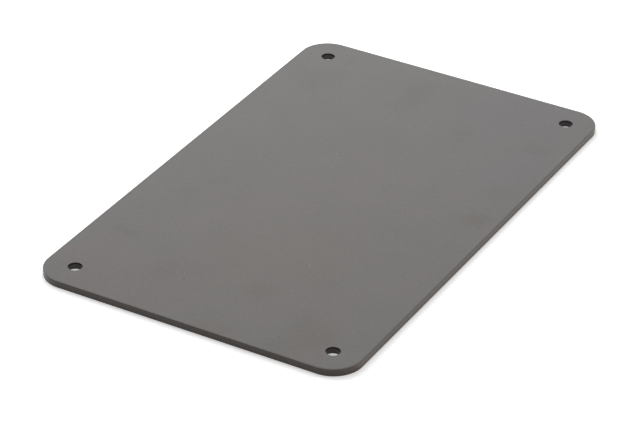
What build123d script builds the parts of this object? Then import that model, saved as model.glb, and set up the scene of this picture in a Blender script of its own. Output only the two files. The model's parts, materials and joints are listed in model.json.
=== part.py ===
"""Rectangular cover plate: one flat sheet with rounded corners and a screw hole near each corner.

Frame: the origin is the centre of the underside, X runs along the plate and +Z points out of its
outer face. All sizes are in millimetres.
"""
from build123d import *

import os

# ---- Driving dimensions ------------------------------------------------------------------------

# The sheet
PLATE_LENGTH = 225.0
PLATE_WIDTH = 140.0
PLATE_THICKNESS = 3.0
CORNER_RADIUS = 12.5

# The four screw holes: coarse clearance for M5, set in by the same distance from both edges
SCREW_HOLE_DIAMETER = 5.8
HOLE_EDGE_DISTANCE = 12.5

# Finish of the cut edges after deburring
OUTER_EDGE_ROUNDING = 0.25
HOLE_RIM_ROUNDING = 0.1

# ---- Derived sizes -----------------------------------------------------------------------------

HOLE_SPACING_ALONG = PLATE_LENGTH - 2 * HOLE_EDGE_DISTANCE
HOLE_SPACING_ACROSS = PLATE_WIDTH - 2 * HOLE_EDGE_DISTANCE
HOLES_ALONG = 2
HOLES_ACROSS = 2


def plate_profile() -> Sketch:
    """The flat pattern: a rounded rectangle with one clearance hole inside each corner."""
    outline = RectangleRounded(PLATE_LENGTH, PLATE_WIDTH, CORNER_RADIUS)
    hole_pattern = GridLocations(HOLE_SPACING_ALONG, HOLE_SPACING_ACROSS, HOLES_ALONG, HOLES_ACROSS)
    return outline - hole_pattern * Circle(SCREW_HOLE_DIAMETER / 2)


def flat_faces(plate: Part) -> ShapeList:
    """The underside and the outer face."""
    return plate.faces().filter_by(Axis.Z)


def round_outer_edges(plate: Part) -> Part:
    """Round the perimeter on both faces, as tumbling leaves it."""
    edges = ShapeList(edge for face in flat_faces(plate) for edge in face.outer_wire().edges())
    return fillet(edges, OUTER_EDGE_ROUNDING)


def round_hole_rims(plate: Part) -> Part:
    """Take the burr off both rims of every screw hole."""
    rims = ShapeList(
        edge for face in flat_faces(plate) for wire in face.inner_wires() for edge in wire.edges()
    )
    return fillet(rims, HOLE_RIM_ROUNDING)


def cover_plate() -> Part:
    """The finished plate, lying on its underside."""
    sheet = extrude(plate_profile(), PLATE_THICKNESS)
    return round_hole_rims(round_outer_edges(sheet))


os.makedirs("parts", exist_ok=True)
export_step(cover_plate(), "parts/cover_plate.step")
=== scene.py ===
"""Looks of a rectangular cover plate: a satin-coated sheet with rounded corners and screw holes.

The plate is one piece. One wall profile is swept round its outline and round each hole, and the two
flat skins are filled in between. Sizes are in metres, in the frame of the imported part: the origin
is the centre of the underside, X runs along the plate and +Z points out of its outer face.
"""
import json
import logging
import math
from dataclasses import dataclass
from enum import Enum
from typing import Any, Mapping, Sequence

import bpy
from mathutils import Matrix, Vector


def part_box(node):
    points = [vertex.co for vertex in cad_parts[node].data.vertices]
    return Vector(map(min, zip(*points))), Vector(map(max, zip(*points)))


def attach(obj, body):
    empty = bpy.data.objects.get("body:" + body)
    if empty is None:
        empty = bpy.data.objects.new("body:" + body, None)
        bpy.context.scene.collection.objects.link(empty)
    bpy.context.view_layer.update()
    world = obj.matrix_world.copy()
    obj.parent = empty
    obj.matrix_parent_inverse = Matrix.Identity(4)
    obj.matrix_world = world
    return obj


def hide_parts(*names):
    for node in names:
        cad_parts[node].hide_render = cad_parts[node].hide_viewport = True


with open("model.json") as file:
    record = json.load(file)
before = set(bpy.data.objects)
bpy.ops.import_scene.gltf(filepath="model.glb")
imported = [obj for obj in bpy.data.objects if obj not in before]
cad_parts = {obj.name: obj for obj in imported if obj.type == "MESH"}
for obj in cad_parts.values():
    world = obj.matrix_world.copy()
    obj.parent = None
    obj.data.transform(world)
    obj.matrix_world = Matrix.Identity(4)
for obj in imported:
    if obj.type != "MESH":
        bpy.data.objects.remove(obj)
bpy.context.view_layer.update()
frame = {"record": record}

log = logging.getLogger("cover_plate")

NODE = "cover_plate"
Colour = tuple[float, float, float]
Ramp = tuple[float, float]


# ---- Node trees written as expressions ---------------------------------------------------------


class Op(Enum):
    """The Math node operations that the expressions use."""

    ADD = "ADD"
    SUBTRACT = "SUBTRACT"
    MULTIPLY = "MULTIPLY"
    MINIMUM = "MINIMUM"
    MAXIMUM = "MAXIMUM"
    ABSOLUTE = "ABSOLUTE"
    SQUARE_ROOT = "SQRT"


class Graph:
    """A node tree that is being built, of a material or of geometry."""

    def __init__(self, tree: bpy.types.NodeTree) -> None:
        """Take over an empty tree.

        Args:
            tree: the tree that gets the nodes.
        """
        self.tree = tree

    def node(
        self,
        kind: str,
        settings: Mapping[str, Any] | None = None,
        inputs: Mapping[str | int, Any] | None = None,
    ) -> bpy.types.Node:
        """Add one node.

        Args:
            kind: the node's type.
            settings: its own properties, set first.
            inputs: for each input socket, by name or place, a value or what is linked to it.

        Returns:
            The new node.
        """
        made = self.tree.nodes.new(kind)
        for name, value in (settings or {}).items():
            setattr(made, name, value)
        for key, value in (inputs or {}).items():
            self.feed(made.inputs[key], value)
        return made

    def feed(self, socket: bpy.types.NodeSocket, value: Any) -> None:
        """Link a socket, or set its own value.

        Args:
            socket: the input to fill.
            value: a socket, a Value, or plain numbers.
        """
        if isinstance(value, Value):
            value = value.socket
        if isinstance(value, bpy.types.NodeSocket):
            self.tree.links.new(value, socket)
        else:
            socket.default_value = value

    def value(self, socket: bpy.types.NodeSocket) -> "Value":
        """Wrap an output socket for use in an expression."""
        return Value(self, socket)


class Value:
    """A number that varies over a surface: a socket that takes part in arithmetic."""

    def __init__(self, graph: Graph, socket: bpy.types.NodeSocket) -> None:
        """Wrap a socket.

        Args:
            graph: the tree that the socket is in.
            socket: an output socket that carries a number.
        """
        self.graph = graph
        self.socket = socket

    def _math(self, op: Op, first: Any, second: Any = 0.0) -> "Value":
        """Add a Math node.

        Args:
            op: what the node does.
            first: its first operand, a Value or a number.
            second: its second operand, a Value or a number.

        Returns:
            The node's result.
        """
        made = self.graph.node("ShaderNodeMath", {"operation": op.value}, {0: first, 1: second})
        return Value(self.graph, made.outputs[0])

    def __add__(self, other: Any) -> "Value":
        """self + other."""
        return self._math(Op.ADD, self, other)

    def __radd__(self, other: Any) -> "Value":
        """other + self."""
        return self._math(Op.ADD, other, self)

    def __sub__(self, other: Any) -> "Value":
        """self - other."""
        return self._math(Op.SUBTRACT, self, other)

    def __rsub__(self, other: Any) -> "Value":
        """other - self."""
        return self._math(Op.SUBTRACT, other, self)

    def __mul__(self, other: Any) -> "Value":
        """self * other."""
        return self._math(Op.MULTIPLY, self, other)

    def __rmul__(self, other: Any) -> "Value":
        """other * self."""
        return self._math(Op.MULTIPLY, other, self)

    def __abs__(self) -> "Value":
        """The size of self, without its sign."""
        return self._math(Op.ABSOLUTE, self)

    def at_least(self, floor: Any) -> "Value":
        """The larger of self and floor."""
        return self._math(Op.MAXIMUM, self, floor)

    def at_most(self, ceiling: Any) -> "Value":
        """The smaller of self and ceiling."""
        return self._math(Op.MINIMUM, self, ceiling)

    def root(self) -> "Value":
        """The square root of self."""
        return self._math(Op.SQUARE_ROOT, self)

    def hypot(self, other: "Value") -> "Value":
        """How long the slant over self and other is."""
        return (self * self + other * other).root()

    def rise(self, start: float, end: float) -> "Value":
        """A smooth step over self.

        Args:
            start: where the result is 0.
            end: where the result is 1, below or above start.

        Returns:
            A value from 0 to 1.
        """
        made = self.graph.node(
            "ShaderNodeMapRange",
            {"interpolation_type": "SMOOTHSTEP"},
            {"Value": self, "From Min": start, "From Max": end},
        )
        return Value(self.graph, made.outputs["Result"])


def new_material(name: str) -> tuple[bpy.types.Material, Graph]:
    """Make a material with an empty node tree.

    Args:
        name: the material's name.

    Returns:
        The material, and its tree for building.
    """
    material = bpy.data.materials.new(name)
    material.use_nodes = True
    material.node_tree.nodes.clear()
    return material, Graph(material.node_tree)


def shown_rays(graph: Graph, path: bpy.types.Node) -> Value:
    """Tell what is looked at from what only carries light.

    Args:
        graph: the tree that the node is in.
        path: a Light Path node.

    Returns:
        1 for what shows directly, in gloss or through glass, and 0 for all other light.
    """
    kinds = ("Is Camera Ray", "Is Glossy Ray", "Is Transmission Ray")
    direct, mirrored, passed = (graph.value(path.outputs[kind]) for kind in kinds)
    return direct.at_least(mirrored).at_least(passed)


# ---- Finishes ----------------------------------------------------------------------------------

# The places of a Mix node's factor and colour sockets, whose names it has more than once.
MIX_FACTOR, MIX_FIRST, MIX_SECOND, MIX_RESULT = 0, 6, 7, 2


@dataclass(frozen=True)
class PlateOutline:
    """The sizes that place tints and wear along the plate's walls, edges and holes."""

    length: float
    width: float
    thickness: float
    corner_radius: float
    hole_radius: float
    hole_spacing_along: float
    hole_spacing_across: float


@dataclass(frozen=True)
class Mark:
    """An ellipse on the outer face where the coating drifts in tint or depth, or has a nick."""

    x: float
    y: float
    reach_along: float
    reach_across: float
    turn_deg: float
    strength: float


@dataclass(frozen=True)
class Noise:
    """Smooth noise: how wide its patches are, and how many finer layers it has."""

    size: float
    detail: float


@dataclass(frozen=True)
class EdgeShade:
    """How the coat changes along walls, rims and holes.

    Every change here is painted shade: the walls' and bores' darker tones, the dark collar and rim
    lines, and the dark foot line. A pair gives where a change starts and where it is full. The
    foot's pair is a height above the underside, those of rim and collar are depths below the outer
    face, and the wall's is both. The others are distances in from the outline, or out from a hole's
    rim.
    """

    wall: Ramp = (0.00002, 0.0002)
    round_hole: Ramp = (0.0020, 0.0010)
    long_side: Ramp = (0.0025, 0.0005)
    rim: Ramp = (0.0005, 0.0003)
    long_rim: Ramp = (0.0007, 0.0003)
    long_rim_strength: float = 0.7
    # How far in from the outline the painted shade on one corner's top rim reaches.
    corner_rim_shade: Ramp = (0.0011, 0.0005)
    rim_darkness: float = 0.17
    foot: Ramp = (0.0019, 0.0011)
    foot_darkness: float = 0.6
    collar: Ramp = (0.0010, 0.0005)
    collar_darkness: float = 0.85


@dataclass(frozen=True)
class EdgeMasks:
    """Where the tones of the edges show, each from 0 to 1.

    The wall is all upright faces with the rims that are painted in their tone as shade, the bore is
    the walls inside the holes, the collar is the band under a hole's upper rim, and the line is
    every dark line. Each of these tones is painted shade.
    """

    wall: Value
    bore: Value
    collar: Value
    line: Value


@dataclass(frozen=True)
class SatinCoat:
    """A warm-grey satin coating over the whole plate.

    The faces have faint brown, sallow and violet drifts, handling marks, specks and a fine grain.
    The walls are browner and darker, and the bores darker still; that darkness is painted shade. A
    dark collar under each hole's rim and a dark line on the top rims of the long sides and of one
    corner are painted shade, and the dark line along the foot of the long sides is painted contact
    shadow.
    """

    outline: PlateOutline
    brown_drifts: tuple[Mark, ...]
    sallow_drifts: tuple[Mark, ...]
    violet_drifts: tuple[Mark, ...]
    smudges: tuple[Mark, ...]
    dark_specks: tuple[Mark, ...]
    light_specks: tuple[Mark, ...]
    # Where one corner's top rim is painted darker as shade.
    shaded_rim_corners: tuple[Mark, ...]
    name: str = "satin_coat"
    plain: Colour = (0.1183, 0.1142, 0.1081)
    brown: Colour = (0.1239, 0.1103, 0.1062)
    sallow: Colour = (0.1252, 0.1127, 0.1027)
    violet: Colour = (0.1170, 0.1102, 0.1132)
    smudge: Colour = (0.0905, 0.0855, 0.0795)
    # The walls' darker, browner tone: its darkness is painted shade.
    wall: Colour = (0.0640, 0.0486, 0.0401)
    # The bores' darker tone is painted shade in the holes.
    bore: Colour = (0.0460, 0.0420, 0.0390)
    # The tone of every dark line: painted shade under the rims, painted contact shadow at the foot.
    line: Colour = (0.0140, 0.0100, 0.0080)
    speck_dark: Colour = (0.0600, 0.0540, 0.0500)
    speck_light: Colour = (0.2100, 0.2030, 0.1950)
    edge_shade: EdgeShade = EdgeShade()
    mottle: Noise = Noise(size=0.020, detail=4.0)
    speckle: Noise = Noise(size=0.0036, detail=3.0)
    grain: Noise = Noise(size=0.0007, detail=1.5)
    mark_edge: Ramp = (1.3, 0.2)
    smudge_mottle: float = 1.8
    smudge_speckle: float = 1.4
    drift_edge: Ramp = (0.42, 0.58)
    drift_mottle: float = 0.9
    drift_speckle: float = 2.2
    grain_shade: float = 0.5
    mottle_shade: float = 0.16
    roughness: float = 0.38
    mottle_roughness: float = 0.06
    smudge_gloss: float = 0.04
    grain_roughness: float = 0.08
    specular_level: float = 0.5
    grain_strength: float = 0.12
    grain_depth: float = 0.00012

    def build(self) -> bpy.types.Material:
        """Make the material.

        Returns:
            The finished material.
        """
        material, graph = new_material(self.name)
        place = graph.node("ShaderNodeTexCoord").outputs["Object"]
        mottle = self._noise(graph, place, self.mottle)
        speckle = self._noise(graph, place, self.speckle)
        grain = self._noise(graph, place, self.grain)
        patchy = mottle * self.drift_mottle + speckle * self.drift_speckle
        ragged = mottle * self.smudge_mottle + speckle * self.smudge_speckle
        smudge = self._marks(graph, place, self.smudges, ragged)
        edges = self._edges(graph, place)
        brown = self._marks(graph, place, self.brown_drifts) + patchy
        sallow = self._marks(graph, place, self.sallow_drifts) - patchy
        violet = self._marks(graph, place, self.violet_drifts) + patchy
        layers = (
            (brown.rise(*self.drift_edge), self.brown),
            (sallow.rise(*self.drift_edge), self.sallow),
            (violet.rise(*self.drift_edge), self.violet),
            (smudge, self.smudge),
            (self._marks(graph, place, self.dark_specks), self.speck_dark),
            (self._marks(graph, place, self.light_specks), self.speck_light),
            # Painted shade: the darker tone of the walls and of the top rims that take it.
            (edges.wall, self.wall),
            # Painted shade: the darker bores.
            (edges.bore, self.bore),
            # Painted shade and painted contact shadow: the dark collar, rim and foot lines.
            (edges.line, self.line),
        )
        colour: Any = self.plain
        for mask, tone in layers:
            colour = self._mix(graph, mask, colour, tone)
        shade = 1.0 + grain * self.grain_shade + mottle * self.mottle_shade
        uneven = mottle * self.mottle_roughness - smudge * self.smudge_gloss
        bump = graph.node(
            "ShaderNodeBump",
            inputs={"Strength": self.grain_strength, "Distance": self.grain_depth, "Height": grain},
        )
        shader = graph.node(
            "ShaderNodeBsdfPrincipled",
            inputs={
                "Base Color": self._scale(graph, colour, shade),
                "Roughness": self.roughness + uneven + grain * self.grain_roughness,
                # The collar is also made metallic, which with its near-black tone takes its sheen
                # away: painted shade.
                "Metallic": edges.collar,
                "Specular IOR Level": self.specular_level,
                "Normal": bump.outputs["Normal"],
            },
        )
        graph.node("ShaderNodeOutputMaterial", inputs={"Surface": shader.outputs["BSDF"]})
        return material

    @staticmethod
    def _noise(graph: Graph, place: bpy.types.NodeSocket, noise: Noise) -> Value:
        """Lay smooth noise over the plate.

        Args:
            graph: the material's tree.
            place: the point on the plate.
            noise: the noise's patches.

        Returns:
            A value from -0.5 to 0.5 that is 0 on average.
        """
        made = graph.node(
            "ShaderNodeTexNoise",
            inputs={"Vector": place, "Scale": 1.0 / noise.size, "Detail": noise.detail},
        )
        return graph.value(made.outputs["Fac"]) - 0.5

    @staticmethod
    def _mix(graph: Graph, factor: Value, first: Any, second: Any) -> bpy.types.NodeSocket:
        """Blend two colours.

        Args:
            graph: the material's tree.
            factor: 0 for the first colour, 1 for the second.
            first: a colour or a socket.
            second: a colour or a socket.

        Returns:
            The blended colour.
        """
        pair = [(*c, 1.0) if isinstance(c, tuple) else c for c in (first, second)]
        made = graph.node(
            "ShaderNodeMix",
            {"data_type": "RGBA"},
            {MIX_FACTOR: factor, MIX_FIRST: pair[0], MIX_SECOND: pair[1]},
        )
        return made.outputs[MIX_RESULT]

    @staticmethod
    def _scale(graph: Graph, colour: bpy.types.NodeSocket, by: Value) -> bpy.types.NodeSocket:
        """Make a colour lighter or darker.

        Args:
            graph: the material's tree.
            colour: the colour to change.
            by: the factor.

        Returns:
            The changed colour.
        """
        made = graph.node(
            "ShaderNodeVectorMath", {"operation": "SCALE"}, {"Vector": colour, "Scale": by}
        )
        return made.outputs["Vector"]

    def _marks(
        self,
        graph: Graph,
        place: bpy.types.NodeSocket,
        marks: Sequence[Mark],
        ragged: Value | float = 0.0,
    ) -> Value:
        """Find how strongly some marks show.

        Args:
            graph: the material's tree.
            place: the point on the plate.
            marks: the marks.
            ragged: what breaks up their outlines, in shares of their reach.

        Returns:
            A value from 0, clean, to the strongest mark's strength.
        """
        shown = []
        for mark in marks:
            mapping = graph.node(
                "ShaderNodeMapping",
                {"vector_type": "TEXTURE"},
                {
                    "Vector": place,
                    "Location": (mark.x, mark.y, 0.0),
                    "Rotation": (0.0, 0.0, math.radians(mark.turn_deg)),
                    "Scale": (mark.reach_along, mark.reach_across, 1.0),
                },
            )
            reach = graph.node(
                "ShaderNodeVectorMath", {"operation": "LENGTH"}, {0: mapping.outputs["Vector"]}
            )
            spread = graph.value(reach.outputs["Value"]) + ragged
            shown.append(spread.rise(*self.mark_edge) * mark.strength)
        total = shown[0]
        for other in shown[1:]:
            total = total.at_least(other)
        return total

    def _edges(self, graph: Graph, place: bpy.types.NodeSocket) -> EdgeMasks:
        """Find where the painted shade lies: the walls, the bores and the dark lines along them.

        Args:
            graph: the material's tree.
            place: the point on the plate.

        Returns:
            Where each of them shows.
        """
        shape, shading = self.outline, self.edge_shade
        parts = graph.node("ShaderNodeSeparateXYZ", inputs={"Vector": place})
        along, across = (abs(graph.value(parts.outputs[axis])) for axis in ("X", "Y"))
        above = graph.value(parts.outputs["Z"])
        below = shape.thickness - above
        wall = above.rise(*shading.wall).at_most(below.rise(*shading.wall))

        hole_along = along - shape.hole_spacing_along / 2
        hole_across = across - shape.hole_spacing_across / 2
        from_hole = hole_along.hypot(hole_across) - shape.hole_radius
        round_hole = from_hole.rise(*shading.round_hole)
        # The collar, a dark band under each hole's upper rim, is painted shade.
        collar = wall * below.rise(*shading.collar) * round_hole * shading.collar_darkness

        past_along = (along - (shape.length / 2 - shape.corner_radius)).at_least(0.0)
        past_across = (across - (shape.width / 2 - shape.corner_radius)).at_least(0.0)
        from_outline = shape.corner_radius - past_along.hypot(past_across)
        from_side = shape.width / 2 - across
        # One corner's top rim, painted in the wall's tone with a faint dark line: painted shade.
        corner_shade = self._marks(graph, place, self.shaded_rim_corners)
        corner_rim_shade = corner_shade * from_outline.rise(*shading.corner_rim_shade)
        # The top rims of the long sides, painted in the wall's tone with a faint dark line: painted
        # shade.
        long_rim = from_side.rise(*shading.long_rim) * shading.long_rim_strength
        rim = below.rise(*shading.rim) * long_rim.at_least(corner_rim_shade)
        on_side = from_side.rise(*shading.long_side)
        # A dark line along the foot of the long walls: painted contact shadow.
        foot = wall * above.rise(*shading.foot) * on_side * shading.foot_darkness
        return EdgeMasks(
            wall=wall.at_least(rim),
            bore=wall * round_hole,
            collar=collar,
            line=foot.at_least(rim * shading.rim_darkness).at_least(collar),
        )


@dataclass(frozen=True)
class StudioWhite:
    """A seamless white sheet: white to the camera and in reflections, and grey to other light.

    Away from the plate, where the lamps fall off, it turns to plain white. It is clear from
    beneath, and to what leaves the plate's underside, so that side can be looked at too. Its pairs
    give where a change starts and where it is full.
    """

    name: str = "studio_white"
    shown: float = 0.95
    lift: float = 0.33
    bounce: float = 0.32
    white_beyond: Ramp = (0.25, 0.60)
    clear_within: Ramp = (0.0002, 0.0001)

    def build(self) -> bpy.types.Material:
        """Make the material.

        Returns:
            The finished material.
        """
        material, graph = new_material(self.name)
        path = graph.node("ShaderNodeLightPath")
        near_plate = graph.node(
            "ShaderNodeAddShader",
            inputs={0: self._matt(graph, self.shown), 1: self._glow(graph, self.lift)},
        )
        place = graph.node("ShaderNodeTexCoord").outputs["Object"]
        reach = graph.node("ShaderNodeVectorMath", {"operation": "LENGTH"}, {0: place})
        away = graph.value(reach.outputs["Value"]).rise(*self.white_beyond)
        shown = self._blend(graph, away, near_plate.outputs["Shader"], self._glow(graph, 1.0))
        sheet = self._blend(graph, shown_rays(graph, path), self._matt(graph, self.bounce), shown)
        beneath = graph.value(graph.node("ShaderNodeNewGeometry").outputs["Backfacing"])
        touching = graph.value(path.outputs["Ray Length"]).rise(*self.clear_within)
        clear = graph.node("ShaderNodeBsdfTransparent").outputs["BSDF"]
        whole = self._blend(graph, beneath.at_least(touching), sheet, clear)
        graph.node("ShaderNodeOutputMaterial", inputs={"Surface": whole})
        return material

    @staticmethod
    def _matt(graph: Graph, level: float) -> bpy.types.NodeSocket:
        """A matt grey of some level."""
        made = graph.node("ShaderNodeBsdfDiffuse", inputs={"Color": (level, level, level, 1.0)})
        return made.outputs["BSDF"]

    @staticmethod
    def _glow(graph: Graph, strength: float) -> bpy.types.NodeSocket:
        """A white glow of some strength."""
        made = graph.node("ShaderNodeEmission", inputs={"Strength": strength})
        return made.outputs["Emission"]

    @staticmethod
    def _blend(
        graph: Graph, factor: Value, first: bpy.types.NodeSocket, second: bpy.types.NodeSocket
    ) -> bpy.types.NodeSocket:
        """Blend two shaders.

        Args:
            graph: the material's tree.
            factor: 0 for the first shader, 1 for the second.
            first: a shader.
            second: a shader.

        Returns:
            The blended shader.
        """
        made = graph.node("ShaderNodeMixShader", inputs={0: factor, 1: first, 2: second})
        return made.outputs["Shader"]


# ---- The plate ---------------------------------------------------------------------------------


class Side(Enum):
    """Which way the material lies from a swept path: inside the outline, or outside a hole."""

    INSIDE = -1
    OUTSIDE = 1


@dataclass
class CoverPlate:
    """The one piece: a flat sheet with rounded corners and edges and a hole near each corner."""

    length: float
    width: float
    thickness: float
    hole_radius: float
    hole_spacing_along: float
    hole_spacing_across: float
    holes_along: int = 2
    holes_across: int = 2
    corner_radius: float = 0.0125
    edge_rounding: float = 0.00025
    rim_rounding: float = 0.0001
    flat_margin: float = 0.0006
    weld_distance: float = 1e-6
    corner_steps: int = 32
    hole_steps: int = 72
    rounding_steps: int = 7

    @classmethod
    def from_frame(cls) -> "CoverPlate":
        """Read the plate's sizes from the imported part.

        Returns:
            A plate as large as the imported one.
        """
        low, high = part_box(NODE)
        size = high - low
        mounts = {mount["name"]: mount for mount in frame["record"]["mounts"]}
        holes = mounts["screw_holes"]["dims"]
        return cls(
            length=size.x,
            width=size.y,
            thickness=size.z,
            hole_radius=holes["hole_r_mm"] / 1000,
            hole_spacing_along=holes["spacing_x_mm"] / 1000,
            hole_spacing_across=holes["spacing_y_mm"] / 1000,
        )

    def outline(self) -> PlateOutline:
        """The plate's sizes, as its finish needs them."""
        return PlateOutline(
            self.length,
            self.width,
            self.thickness,
            self.corner_radius,
            self.hole_radius,
            self.hole_spacing_along,
            self.hole_spacing_across,
        )

    def inputs(self) -> dict[str, float]:
        """The named inputs of the plate's geometry tree, and their values."""
        return {
            "Length": self.length,
            "Width": self.width,
            "Thickness": self.thickness,
            "Corner Radius": self.corner_radius,
            "Edge Rounding": self.edge_rounding,
            "Hole Radius": self.hole_radius,
            "Hole Spacing Along": self.hole_spacing_along,
            "Hole Spacing Across": self.hole_spacing_across,
            "Rim Rounding": self.rim_rounding,
            "Flat Margin": self.flat_margin,
        }

    def tree(self, finish: bpy.types.Material) -> bpy.types.NodeTree:
        """Write the rule that makes the plate.

        Args:
            finish: the material that the whole plate wears.

        Returns:
            The geometry tree, with named inputs for its sizes.
        """
        tree = bpy.data.node_groups.new("plate_rule", "GeometryNodeTree")
        tree.is_modifier = True
        for name in self.inputs():
            tree.interface.new_socket(name=name, in_out="INPUT", socket_type="NodeSocketFloat")
        tree.interface.new_socket(name="Plate", in_out="OUTPUT", socket_type="NodeSocketGeometry")
        graph = Graph(tree)
        sizes = graph.node("NodeGroupInput").outputs
        outline = graph.node(
            "GeometryNodeCurvePrimitiveQuadrilateral",
            {"mode": "RECTANGLE"},
            {"Width": sizes["Length"], "Height": sizes["Width"]},
        )
        outline = self._rounded(graph, outline, self.corner_steps, sizes["Corner Radius"])
        hole = graph.node(
            "GeometryNodeCurvePrimitiveCircle",
            {"mode": "RADIUS"},
            {"Resolution": self.hole_steps, "Radius": sizes["Hole Radius"]},
        )
        pattern = graph.node(
            "GeometryNodeMeshGrid",
            inputs={
                "Size X": sizes["Hole Spacing Along"],
                "Size Y": sizes["Hole Spacing Across"],
                "Vertices X": self.holes_along,
                "Vertices Y": self.holes_across,
            },
        )
        holes = graph.node(
            "GeometryNodeInstanceOnPoints",
            inputs={"Points": pattern.outputs["Mesh"], "Instance": hole.outputs["Curve"]},
        )
        holes = graph.node(
            "GeometryNodeRealizeInstances", inputs={"Geometry": holes.outputs["Instances"]}
        )
        outline = self._upright(graph, outline.outputs["Curve"])
        holes = self._upright(graph, holes.outputs["Geometry"])
        walls = [
            self._wall(graph, sizes, outline, sizes["Edge Rounding"], Side.INSIDE),
            self._wall(graph, sizes, holes, sizes["Rim Rounding"], Side.OUTSIDE),
        ]
        skins = self._skins(graph, sizes, outline, holes)
        joined = self._join(graph, [*walls, *skins])
        welded = graph.node(
            "GeometryNodeMergeByDistance",
            inputs={"Geometry": joined, "Distance": self.weld_distance},
        )
        smooth = graph.node(
            "GeometryNodeSetShadeSmooth", inputs={"Geometry": welded.outputs["Geometry"]}
        )
        real = graph.node(
            "GeometryNodeRealizeInstances", inputs={"Geometry": smooth.outputs["Geometry"]}
        )
        dressed = graph.node(
            "GeometryNodeSetMaterial",
            inputs={"Geometry": real.outputs["Geometry"], "Material": finish},
        )
        graph.node("NodeGroupOutput", inputs={0: dressed.outputs["Geometry"]})
        return tree

    @staticmethod
    def _rounded(
        graph: Graph, curve: bpy.types.Node, steps: int, radius: bpy.types.NodeSocket
    ) -> bpy.types.Node:
        """Round a polyline's corners.

        Args:
            graph: the geometry tree.
            curve: the node that gives the polyline.
            steps: straight pieces in each corner.
            radius: the corners' radius.

        Returns:
            The node that gives the rounded polyline.
        """
        return graph.node(
            "GeometryNodeFilletCurve",
            {"mode": "POLY"},
            {"Curve": curve.outputs[0], "Count": steps, "Radius": radius, "Limit Radius": False},
        )

    @staticmethod
    def _upright(graph: Graph, curve: bpy.types.NodeSocket) -> bpy.types.NodeSocket:
        """Keep a flat curve's normals level, so that what is swept along it stands upright."""
        made = graph.node("GeometryNodeSetCurveNormal", {"mode": "Z_UP"}, {"Curve": curve})
        return made.outputs["Curve"]

    @staticmethod
    def _join(graph: Graph, parts: Sequence[bpy.types.NodeSocket]) -> bpy.types.NodeSocket:
        """Put several geometries into one.

        Args:
            graph: the geometry tree.
            parts: what is joined.

        Returns:
            The joined geometry.
        """
        made = graph.node("GeometryNodeJoinGeometry")
        for part in parts:
            graph.feed(made.inputs["Geometry"], part)
        return made.outputs["Geometry"]

    @staticmethod
    def _point(graph: Graph, x: Any, y: Any) -> bpy.types.NodeSocket:
        """Place a point of a flat profile.

        Args:
            graph: the geometry tree.
            x: its place across the path.
            y: its place down the path's normal.

        Returns:
            The point, as a vector.
        """
        made = graph.node("ShaderNodeCombineXYZ", inputs={"X": x, "Y": y})
        return made.outputs["Vector"]

    @staticmethod
    def _margin(graph: Graph, sizes: Any, rounding: bpy.types.NodeSocket) -> Value:
        """How far a wall's profile reaches over the flat skins."""
        return graph.value(rounding) + graph.value(sizes["Flat Margin"])

    def _wall(
        self,
        graph: Graph,
        sizes: Any,
        path: bpy.types.NodeSocket,
        rounding: bpy.types.NodeSocket,
        side: Side,
    ) -> bpy.types.NodeSocket:
        """Sweep one wall: the upright face, and above and below it a rounding and a flat margin.

        Args:
            graph: the geometry tree.
            sizes: the tree's inputs.
            path: the curve that the wall's face follows.
            rounding: the radius at the wall's top and bottom.
            side: where the material lies from the path.

        Returns:
            The wall's mesh, facing away from the material.
        """
        reach = self._margin(graph, sizes, rounding) * float(side.value)
        drop = graph.value(sizes["Thickness"]) * -1.0
        corners = graph.node(
            "GeometryNodeCurvePrimitiveQuadrilateral",
            {"mode": "POINTS"},
            {
                "Point 1": self._point(graph, reach, 0.0),
                "Point 2": self._point(graph, 0.0, 0.0),
                "Point 3": self._point(graph, 0.0, drop),
                "Point 4": self._point(graph, reach, drop),
            },
        )
        opened = graph.node(
            "GeometryNodeSetSplineCyclic",
            inputs={"Geometry": corners.outputs["Curve"], "Cyclic": False},
        )
        profile = self._rounded(graph, opened, self.rounding_steps, rounding)
        swept = graph.node(
            "GeometryNodeCurveToMesh",
            inputs={"Curve": path, "Profile Curve": profile.outputs["Curve"]},
        )
        if side is Side.OUTSIDE:
            return swept.outputs["Mesh"]
        turned = graph.node("GeometryNodeFlipFaces", inputs={"Mesh": swept.outputs["Mesh"]})
        return turned.outputs["Mesh"]

    def _skins(
        self, graph: Graph, sizes: Any, outline: bpy.types.NodeSocket, holes: bpy.types.NodeSocket
    ) -> list[bpy.types.NodeSocket]:
        """Fill the underside and the outer face between the walls' margins.

        Args:
            graph: the geometry tree.
            sizes: the tree's inputs.
            outline: the plate's outline.
            holes: the rims of all holes.

        Returns:
            The two skins' meshes, facing away from the material.
        """
        edge_margin = self._margin(graph, sizes, sizes["Edge Rounding"])
        rim_margin = self._margin(graph, sizes, sizes["Rim Rounding"])
        rims = [
            self._moved(graph, outline, edge_margin, Side.INSIDE),
            self._moved(graph, holes, rim_margin, Side.OUTSIDE),
        ]
        skin = graph.node(
            "GeometryNodeFillCurve", {"mode": "TRIANGLES"}, {"Curve": self._join(graph, rims)}
        )
        lift = graph.node("ShaderNodeCombineXYZ", inputs={"Z": sizes["Thickness"]})
        outer = graph.node(
            "GeometryNodeTransform",
            inputs={"Geometry": skin.outputs["Mesh"], "Translation": lift.outputs["Vector"]},
        )
        under = graph.node("GeometryNodeFlipFaces", inputs={"Mesh": skin.outputs["Mesh"]})
        return [outer.outputs["Geometry"], under.outputs["Mesh"]]

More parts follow.
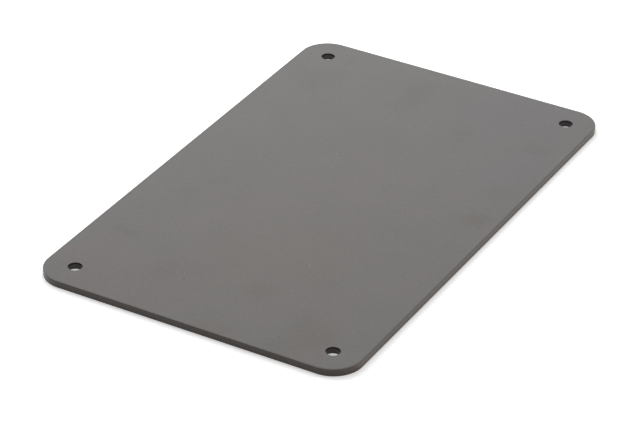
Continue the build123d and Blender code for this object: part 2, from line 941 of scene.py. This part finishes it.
    @staticmethod
    def _moved(
        graph: Graph, curve: bpy.types.NodeSocket, by: Value, side: Side
    ) -> bpy.types.NodeSocket:
        """Offset a flat curve along its own normals.

        Args:
            graph: the geometry tree.
            curve: the curve to offset.
            by: how far.
            side: towards which side.

        Returns:
            The offset curve.
        """
        normal = graph.node("GeometryNodeInputNormal")
        step = graph.node(
            "ShaderNodeVectorMath",
            {"operation": "SCALE"},
            {"Vector": normal.outputs["Normal"], "Scale": by * float(side.value)},
        )
        made = graph.node(
            "GeometryNodeSetPosition", inputs={"Geometry": curve, "Offset": step.outputs["Vector"]}
        )
        return made.outputs["Geometry"]

    def build(self, finish: bpy.types.Material) -> bpy.types.Object:
        """Make the plate as a plain mesh that stands for the CAD node.

        Args:
            finish: the plate's material.

        Returns:
            The plate's object, at the origin.
        """
        tree = self.tree(finish)
        plate = bpy.data.objects.new("coated_plate", bpy.data.meshes.new("coated_plate"))
        bpy.context.scene.collection.objects.link(plate)
        rule = plate.modifiers.new("plate_rule", "NODES")
        rule.node_group = tree
        sockets = {item.name: item.identifier for item in tree.interface.items_tree}
        for name, value in self.inputs().items():
            rule[sockets[name]] = value
        depsgraph = bpy.context.evaluated_depsgraph_get()
        mesh = bpy.data.meshes.new_from_object(plate.evaluated_get(depsgraph))
        mesh.polygons.foreach_set("material_index", [0] * len(mesh.polygons))
        mesh.materials.clear()
        mesh.materials.append(finish)
        plate.modifiers.clear()
        plate.data = mesh
        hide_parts(NODE)
        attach(plate, "root")
        return plate


# ---- The studio --------------------------------------------------------------------------------


@dataclass
class StudioFloor:
    """A wide seamless floor that the plate lies on, a hair below it so that the two stay apart."""

    finish: StudioWhite
    half_size: float = 6.0
    gap: float = 0.00002

    def build(self) -> bpy.types.Object:
        """Make the floor.

        Returns:
            The floor's object.
        """
        reach, level = self.half_size, -self.gap
        corners = [(x * reach, y * reach, level) for x, y in ((-1, -1), (1, -1), (1, 1), (-1, 1))]
        mesh = bpy.data.meshes.new("studio_floor")
        mesh.from_pydata(corners, [], [(0, 1, 2, 3)])
        mesh.materials.append(self.finish.build())
        floor = bpy.data.objects.new("studio_floor", mesh)
        bpy.context.scene.collection.objects.link(floor)
        return floor


@dataclass(frozen=True)
class Softbox:
    """A square area lamp that faces the plate. It lights the coat but isn't mirrored in it."""

    name: str
    bearing_deg: float
    height_deg: float
    distance: float
    size: float
    power: float

    def build(self) -> bpy.types.Object:
        """Make the lamp.

        Returns:
            The lamp's object.
        """
        lamp = bpy.data.lights.new(self.name, "AREA")
        lamp.shape = "SQUARE"
        lamp.size = self.size
        lamp.energy = self.power
        made = bpy.data.objects.new(self.name, lamp)
        direction = bearing(self.bearing_deg, self.height_deg)
        made.location = direction * self.distance
        made.rotation_euler = direction.to_track_quat("Z", "Y").to_euler()
        made.visible_glossy = False
        bpy.context.scene.collection.objects.link(made)
        return made


@dataclass(frozen=True)
class StudioAir:
    """The light from all round: white to the camera and in reflections, weaker as fill."""

    fill: float = 0.22

    def build(self) -> bpy.types.World:
        """Make the world.

        Returns:
            The scene's world.
        """
        world = bpy.data.worlds.new("studio_air")
        world.use_nodes = True
        world.node_tree.nodes.clear()
        graph = Graph(world.node_tree)
        seen = shown_rays(graph, graph.node("ShaderNodeLightPath"))
        strength = self.fill + seen * (1.0 - self.fill)
        glow = graph.node(
            "ShaderNodeBackground", inputs={"Color": (1.0, 1.0, 1.0, 1.0), "Strength": strength}
        )
        graph.node("ShaderNodeOutputWorld", inputs={"Surface": glow.outputs["Background"]})
        bpy.context.scene.world = world
        return world


@dataclass(frozen=True)
class ProductCamera:
    """A long lens that looks down over the plate's near corner. Distances are in plate lengths."""

    plate_length: float
    bearing_deg: float = -150.961
    height_deg: float = 31.311
    roll_deg: float = 1.012
    distance: float = 5.4944
    aim: tuple[float, float] = (-0.05482, -0.00974)
    focal_length: float = 172.93
    sensor_width: float = 36.0
    sight: float = 100.0

    def build(self) -> bpy.types.Object:
        """Make the camera and give it to the scene.

        Returns:
            The camera's object.
        """
        lens = bpy.data.cameras.new("product_camera")
        lens.sensor_fit = "HORIZONTAL"
        lens.sensor_width = self.sensor_width
        lens.lens = self.focal_length
        lens.clip_end = self.sight
        made = bpy.data.objects.new("product_camera", lens)
        back = bearing(self.bearing_deg, self.height_deg)
        stand = (Vector((*self.aim, 0.0)) + back * self.distance) * self.plate_length
        roll = Matrix.Rotation(math.radians(self.roll_deg), 4, "Z")
        spin = back.to_track_quat("Z", "Y").to_matrix().to_4x4()
        made.matrix_world = Matrix.Translation(stand) @ spin @ roll
        bpy.context.scene.collection.objects.link(made)
        bpy.context.scene.camera = made
        return made


def bearing(turn_deg: float, height_deg: float) -> Vector:
    """Find the direction towards a point round the plate.

    Args:
        turn_deg: its turn about +Z from +X.
        height_deg: its height above the floor.

    Returns:
        A vector of length 1.
    """
    turn, height = math.radians(turn_deg), math.radians(height_deg)
    level = math.cos(height)
    return Vector((math.cos(turn) * level, math.sin(turn) * level, math.sin(height)))


# ---- Marks on this plate, and its lamps ----------------------------------------------------------


BROWN_DRIFTS = (
    Mark(-0.0460, -0.0060, 0.1380, 0.0850, -8.0, 0.455),
    Mark(-0.0980, 0.0300, 0.0340, 0.0320, 0.0, 0.95),
    Mark(-0.0700, 0.0160, 0.0460, 0.0200, -8.0, 0.90),
    Mark(-0.0450, -0.0220, 0.0460, 0.0200, -5.0, 0.90),
    Mark(-0.0550, 0.0000, 0.0360, 0.0200, 0.0, 0.75),
    Mark(-0.0980, -0.0480, 0.0260, 0.0160, 0.0, 0.80),
    Mark(-0.0740, -0.0440, 0.0260, 0.0120, 0.0, 0.68),
    Mark(-0.0740, -0.0300, 0.0240, 0.0130, 0.0, 0.70),
    Mark(-0.0760, -0.0130, 0.0180, 0.0120, 0.0, 0.70),
    Mark(-0.0460, -0.0600, 0.0200, 0.0070, 0.0, 0.58),
    Mark(-0.1050, 0.0500, 0.0200, 0.0200, 0.0, 0.75),
    Mark(-0.0900, 0.0560, 0.0400, 0.0140, 0.0, 0.66),
    Mark(-0.0300, 0.0250, 0.0260, 0.0160, 0.0, 0.62),
    Mark(-0.1080, -0.0120, 0.0060, 0.0100, 0.0, 0.90),
    Mark(0.0100, -0.0600, 0.0090, 0.0100, 0.0, 0.80),
    Mark(0.0800, 0.0180, 0.0320, 0.0180, 20.0, 0.40),
    Mark(0.0650, 0.0520, 0.0180, 0.0120, 30.0, 0.38),
)

SALLOW_DRIFTS = (
    Mark(-0.0560, -0.0080, 0.0400, 0.0340, -10.0, 0.52),
    Mark(-0.0960, -0.0460, 0.0240, 0.0140, 0.0, 0.46),
    Mark(-0.1090, -0.0100, 0.0060, 0.0080, 0.0, 0.70),
    Mark(0.0100, 0.0100, 0.0600, 0.0300, 0.0, 0.25),
)

VIOLET_DRIFTS = (
    Mark(0.0940, -0.0410, 0.0270, 0.0380, 0.0, 0.86),
    Mark(0.0540, -0.0560, 0.0260, 0.0150, 0.0, 0.70),
    Mark(0.1040, 0.0380, 0.0120, 0.0340, 0.0, 0.42),
    Mark(-0.0470, 0.0580, 0.0140, 0.0120, 0.0, 0.42),
    Mark(0.0780, -0.0340, 0.0240, 0.0090, 0.0, 0.50),
)

SMUDGES = (
    Mark(-0.0680, 0.0540, 0.0035, 0.0080, 0.0, 0.50),
    Mark(-0.0270, 0.0500, 0.0080, 0.0070, 0.0, 0.36),
    Mark(-0.0180, 0.0440, 0.0080, 0.0050, -20.0, 0.26),
    Mark(-0.0860, 0.0260, 0.0090, 0.0060, 0.0, 0.28),
    Mark(-0.0760, 0.0140, 0.0100, 0.0040, -35.0, 0.24),
    Mark(-0.0780, -0.0140, 0.0075, 0.0075, 0.0, 0.38),
    Mark(-0.1090, -0.0120, 0.0050, 0.0080, 0.0, 0.30),
    Mark(-0.0940, -0.0430, 0.0180, 0.0110, 0.0, 0.34),
    Mark(-0.1060, -0.0380, 0.0090, 0.0060, 0.0, 0.30),
    Mark(0.0100, -0.0600, 0.0060, 0.0070, 0.0, 0.42),
    Mark(0.0340, -0.0590, 0.0070, 0.0080, 0.0, 0.24),
    Mark(0.0730, -0.0570, 0.0050, 0.0070, 0.0, 0.30),
    Mark(0.0920, 0.0090, 0.0200, 0.0090, 8.0, 0.29),
    Mark(0.0800, 0.0510, 0.0120, 0.0170, -30.0, 0.18),
    Mark(0.0360, 0.0250, 0.0030, 0.0040, 0.0, 0.18),
    Mark(0.0680, -0.0250, 0.0090, 0.0050, 0.0, 0.20),
    Mark(-0.0620, -0.0300, 0.0050, 0.0060, 0.0, 0.14),
)

DARK_SPECKS = (
    Mark(-0.0860, 0.0165, 0.0010, 0.0004, 25.0, 1.0),
    Mark(-0.0100, 0.0090, 0.0004, 0.0004, 0.0, 0.7),
    Mark(0.0660, -0.0040, 0.0004, 0.0004, 0.0, 0.7),
    Mark(0.1040, 0.0470, 0.0006, 0.0003, 10.0, 0.8),
    Mark(0.1040, -0.0390, 0.0006, 0.0003, 20.0, 0.8),
)

LIGHT_SPECKS = (
    Mark(0.0280, 0.0130, 0.0012, 0.0004, 25.0, 0.5),
    Mark(-0.0525, -0.0203, 0.0005, 0.0005, 0.0, 1.0),
    Mark(0.0400, -0.0378, 0.0006, 0.0004, 30.0, 0.8),
    Mark(0.0200, -0.0182, 0.0007, 0.0003, -40.0, 0.6),
    Mark(0.0160, -0.0170, 0.0006, 0.0003, 20.0, 0.5),
)

# The near corner, whose top rim is painted darker as shade.
SHADED_RIM_CORNERS = (Mark(-0.1080, -0.0660, 0.0120, 0.0110, 0.0, 0.9),)

LAMPS = (
    Softbox("left_softbox", 85.0, 35.0, distance=1.3, size=0.8, power=5.5),
    Softbox("back_softbox", 40.0, 50.0, distance=0.45, size=0.35, power=1.10),
    Softbox("side_softbox", -58.0, 8.0, distance=1.5, size=0.32, power=14.0),
    Softbox("overhead_softbox", 60.0, 89.0, distance=0.9, size=1.4, power=3.1),
)


def main() -> None:
    """Build the plate, then the studio round it."""
    logging.basicConfig(level=logging.INFO, format="%(name)s: %(message)s")
    bpy.context.scene.view_settings.view_transform = "Standard"
    plate = CoverPlate.from_frame()
    coat = SatinCoat(
        outline=plate.outline(),
        brown_drifts=BROWN_DRIFTS,
        sallow_drifts=SALLOW_DRIFTS,
        violet_drifts=VIOLET_DRIFTS,
        smudges=SMUDGES,
        dark_specks=DARK_SPECKS,
        light_specks=LIGHT_SPECKS,
        shaded_rim_corners=SHADED_RIM_CORNERS,
    )
    piece = plate.build(coat.build())
    log.info("%s: %d faces", piece.name, len(piece.data.polygons))
    stage = [StudioFloor(StudioWhite()), *LAMPS, ProductCamera(plate.length)]
    for item in stage:
        log.info("%s stands", item.build().name)
    log.info("%s glows", StudioAir().build().name)


if __name__ == "__main__":
    main()
